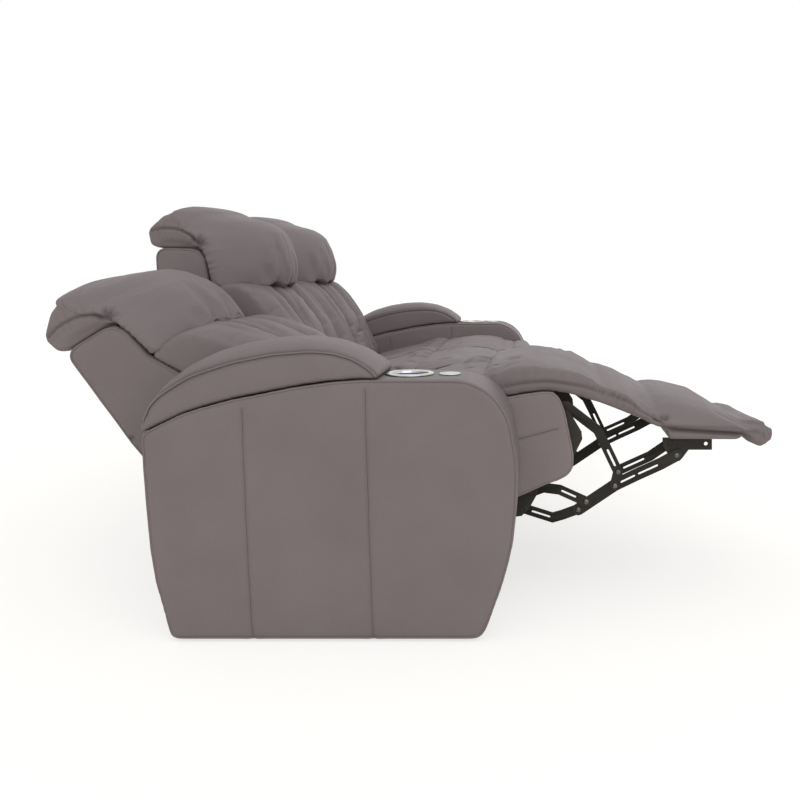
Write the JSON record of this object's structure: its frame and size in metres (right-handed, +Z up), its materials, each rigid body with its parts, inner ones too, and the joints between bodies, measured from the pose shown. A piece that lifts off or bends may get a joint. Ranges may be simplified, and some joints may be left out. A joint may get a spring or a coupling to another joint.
{
  "type": "cinema recliner seat",
  "caption": "Home cinema sofa row with padded leather seats between storage arms; the outer seats slide forward, lie back and fold out a footrest on a steel linkage.",
  "frame": {"origin": "on the floor, at the underside of the centre foot, midway between the two arms", "axes": "X runs across the row from the near arm to the far arm, -Y is the way a sitter faces, +Z is up"},
  "size_m": [2.158, 1.7804, 1.009],
  "materials": {
    "leather": "satin taupe-grey leather, fine grain",
    "apron_leather": "satin taupe-grey leather on the panels under the seats",
    "black_steel": "black painted steel, semi-gloss",
    "chrome": "polished",
    "pale_metal": "satin",
    "lamp": "blue lit ring"
  },
  "bodies": {
    "row": {"base_frame": "black_steel", "near_arm": "leather", "near_lid_hinge": "black_steel", "near_cup_holder": "chrome", "near_cup_lamp": "lamp", "near_control_plate": "pale_metal", "far_arm": "leather", "far_lid_hinge": "black_steel", "far_cup_holder": "chrome", "far_cup_lamp": "lamp", "far_control_plate": "pale_metal", "near_slide_drive": "black_steel", "far_slide_drive": "black_steel", "middle_seat_box": "apron_leather", "middle_seat_cushion": "leather", "middle_chaise_pad": "leather", "middle_front_panel": "leather", "middle_back_shell": "leather", "middle_back_cushion": "leather", "middle_headrest": "leather"},
    "near_lid": {"near_arm_lid": "leather"},
    "far_lid": {"far_arm_lid": "leather"},
    "near_rocker": {"near_control_rocker": "pale_metal"},
    "far_rocker": {"far_control_rocker": "pale_metal"},
    "near_seat": {"near_seat_frame": "black_steel", "near_seat_box": "apron_leather", "near_seat_cushion": "leather", "near_chaise_pad": "leather", "near_pad_flap": "leather"},
    "near_back": {"near_back_shell": "leather", "near_back_cushion": "leather", "near_headrest": "leather"},
    "near_footrest": {"near_footrest_pad": "leather", "near_footrest_bracket": "black_steel"},
    "near_lower": {"near_lower_arms": "black_steel"},
    "near_upper": {"near_upper_arms": "black_steel"},
    "near_stay_left": {"near_stay_bar_left": "black_steel"},
    "near_stay_right": {"near_stay_bar_right": "black_steel"},
    "near_long_left": {"near_long_bar_left": "black_steel"},
    "near_long_right": {"near_long_bar_right": "black_steel"},
    "near_brace_left": {"near_brace_bar_left": "black_steel"},
    "near_brace_right": {"near_brace_bar_right": "black_steel"},
    "far_seat": {"far_seat_frame": "black_steel", "far_seat_box": "apron_leather", "far_seat_cushion": "leather", "far_chaise_pad": "leather", "far_pad_flap": "leather"},
    "far_back": {"far_back_shell": "leather", "far_back_cushion": "leather", "far_headrest": "leather"},
    "far_footrest": {"far_footrest_pad": "leather", "far_footrest_bracket": "black_steel"},
    "far_lower": {"far_lower_arms": "black_steel"},
    "far_upper": {"far_upper_arms": "black_steel"},
    "far_stay_left": {"far_stay_bar_left": "black_steel"},
    "far_stay_right": {"far_stay_bar_right": "black_steel"},
    "far_long_left": {"far_long_bar_left": "black_steel"},
    "far_long_right": {"far_long_bar_right": "black_steel"},
    "far_brace_left": {"far_brace_bar_left": "black_steel"},
    "far_brace_right": {"far_brace_bar_right": "black_steel"}
  },
  "joints": [
    {"name": "near_lid_hinge", "type": "hinge", "parent": "row", "child": "near_lid", "pos_m": [-0.97655, 0.42027, 0.46797], "axis": [-1, 0, 0], "range_deg": [0, 65]},
    {"name": "far_lid_hinge", "type": "hinge", "parent": "row", "child": "far_lid", "pos_m": [0.97655, 0.42027, 0.46797], "axis": [-1, 0, 0], "range_deg": [0, 65]},
    {"name": "near_rocker_tip", "type": "hinge", "parent": "row", "child": "near_rocker", "pos_m": [-0.97655, -0.255, 0.57655], "axis": [1, 0, 0], "range_deg": [-6, 6], "stiffness_Nm_per_rad": 0.1},
    {"name": "far_rocker_tip", "type": "hinge", "parent": "row", "child": "far_rocker", "pos_m": [0.97655, -0.255, 0.57655], "axis": [1, 0, 0], "range_deg": [-6, 6], "stiffness_Nm_per_rad": 0.1},
    {"name": "near_slide", "type": "slide", "parent": "row", "child": "near_seat", "axis": [0, 0.9929, -0.1191], "range_m": [0, 0.25179]},
    {"name": "near_recline", "type": "hinge", "parent": "near_seat", "child": "near_back", "pos_m": [-0.5827, 0.08303, 0.39603], "axis": [1, 0, 0], "range_deg": [0, 33]},
    {"name": "near_fold", "type": "hinge", "parent": "near_seat", "child": "near_footrest", "pos_m": [-0.5827, -0.68399, 0.51103], "axis": [1, 0, 0], "range_deg": [0, 90], "deforming": ["near_pad_flap"]},
    {"name": "near_lower_turn", "type": "hinge", "parent": "near_seat", "child": "near_lower", "pos_m": [-0.5827, -0.41903, 0.22895], "axis": [1, 0, 0], "range_deg": [0, 52]},
    {"name": "near_upper_turn", "type": "hinge", "parent": "near_seat", "child": "near_upper", "pos_m": [-0.5827, -0.48596, 0.47997], "axis": [1, 0, 0], "range_deg": [0, 36]},
    {"name": "near_stay_left_turn", "type": "hinge", "parent": "near_seat", "child": "near_stay_left", "pos_m": [-0.84775, -0.44195, 0.26995], "axis": [1, 0, 0], "range_deg": [0, 60]},
    {"name": "near_stay_right_turn", "type": "hinge", "parent": "near_seat", "child": "near_stay_right", "pos_m": [-0.31765, -0.44195, 0.26995], "axis": [1, 0, 0], "range_deg": [0, 60]},
    {"name": "near_long_left_turn", "type": "hinge", "parent": "near_footrest", "child": "near_long_left", "pos_m": [-0.84275, -0.801, 0.36005], "axis": [-1, 0, 0], "range_deg": [0, 146]},
    {"name": "near_long_right_turn", "type": "hinge", "parent": "near_footrest", "child": "near_long_right", "pos_m": [-0.32265, -0.801, 0.36005], "axis": [-1, 0, 0], "range_deg": [0, 146]},
    {"name": "near_brace_left_turn", "type": "hinge", "parent": "near_footrest", "child": "near_brace_left", "pos_m": [-0.83275, -0.78598, 0.38998], "axis": [-1, 0, 0], "range_deg": [0, 142]},
    {"name": "near_brace_right_turn", "type": "hinge", "parent": "near_footrest", "child": "near_brace_right", "pos_m": [-0.33265, -0.78598, 0.38998], "axis": [-1, 0, 0], "range_deg": [0, 142]},
    {"name": "far_slide", "type": "slide", "parent": "row", "child": "far_seat", "axis": [0, -0.9929, 0.1191], "range_m": [0, 0.25179]},
    {"name": "far_recline", "type": "hinge", "parent": "far_seat", "child": "far_back", "pos_m": [0.5827, 0.33303, 0.36603], "axis": [-1, 0, 0], "range_deg": [0, 33]},
    {"name": "far_fold", "type": "hinge", "parent": "far_seat", "child": "far_footrest", "pos_m": [0.5827, -0.43399, 0.48103], "axis": [-1, 0, 0], "range_deg": [0, 90], "deforming": ["far_pad_flap"]},
    {"name": "far_lower_turn", "type": "hinge", "parent": "far_seat", "child": "far_lower", "pos_m": [0.5827, -0.16903, 0.19895], "axis": [-1, 0, 0], "range_deg": [0, 52]},
    {"name": "far_upper_turn", "type": "hinge", "parent": "far_seat", "child": "far_upper", "pos_m": [0.5827, -0.23596, 0.44998], "axis": [-1, 0, 0], "range_deg": [0, 36]},
    {"name": "far_stay_left_turn", "type": "hinge", "parent": "far_seat", "child": "far_stay_left", "pos_m": [0.31765, -0.19195, 0.23995], "axis": [-1, 0, 0], "range_deg": [0, 60]},
    {"name": "far_stay_right_turn", "type": "hinge", "parent": "far_seat", "child": "far_stay_right", "pos_m": [0.84775, -0.19195, 0.23995], "axis": [-1, 0, 0], "range_deg": [0, 60]},
    {"name": "far_long_left_turn", "type": "hinge", "parent": "far_footrest", "child": "far_long_left", "pos_m": [0.32265, -0.28301, 0.36403], "axis": [1, 0, 0], "range_deg": [0, 146]},
    {"name": "far_long_right_turn", "type": "hinge", "parent": "far_footrest", "child": "far_long_right", "pos_m": [0.84275, -0.28301, 0.36403], "axis": [1, 0, 0], "range_deg": [0, 146]},
    {"name": "far_brace_left_turn", "type": "hinge", "parent": "far_footrest", "child": "far_brace_left", "pos_m": [0.33265, -0.31294, 0.37904], "axis": [1, 0, 0], "range_deg": [0, 142]},
    {"name": "far_brace_right_turn", "type": "hinge", "parent": "far_footrest", "child": "far_brace_right", "pos_m": [0.83275, -0.31294, 0.37904], "axis": [1, 0, 0], "range_deg": [0, 142]}
  ],
  "couplings": [
    {"joint": "near_recline", "follows": "near_slide", "rad_per_m": 2.2874},
    {"joint": "near_lower_turn", "follows": "near_fold", "ratio": 0.57333},
    {"joint": "near_upper_turn", "follows": "near_fold", "ratio": 0.39389},
    {"joint": "near_stay_left_turn", "follows": "near_fold", "ratio": 0.65622},
    {"joint": "near_stay_right_turn", "follows": "near_fold", "ratio": 0.65622},
    {"joint": "near_long_left_turn", "follows": "near_fold", "ratio": 1.6101},
    {"joint": "near_long_right_turn", "follows": "near_fold", "ratio": 1.6101},
    {"joint": "near_brace_left_turn", "follows": "near_fold", "ratio": 1.5612},
    {"joint": "near_brace_right_turn", "follows": "near_fold", "ratio": 1.5612},
    {"joint": "far_recline", "follows": "far_slide", "rad_per_m": 2.2874},
    {"joint": "far_lower_turn", "follows": "far_fold", "ratio": 0.57333},
    {"joint": "far_upper_turn", "follows": "far_fold", "ratio": 0.39389},
    {"joint": "far_stay_left_turn", "follows": "far_fold", "ratio": 0.65622},
    {"joint": "far_stay_right_turn", "follows": "far_fold", "ratio": 0.65622},
    {"joint": "far_long_left_turn", "follows": "far_fold", "ratio": 1.6101},
    {"joint": "far_long_right_turn", "follows": "far_fold", "ratio": 1.6101},
    {"joint": "far_brace_left_turn", "follows": "far_fold", "ratio": 1.5612},
    {"joint": "far_brace_right_turn", "follows": "far_fold", "ratio": 1.5612}
  ]
}
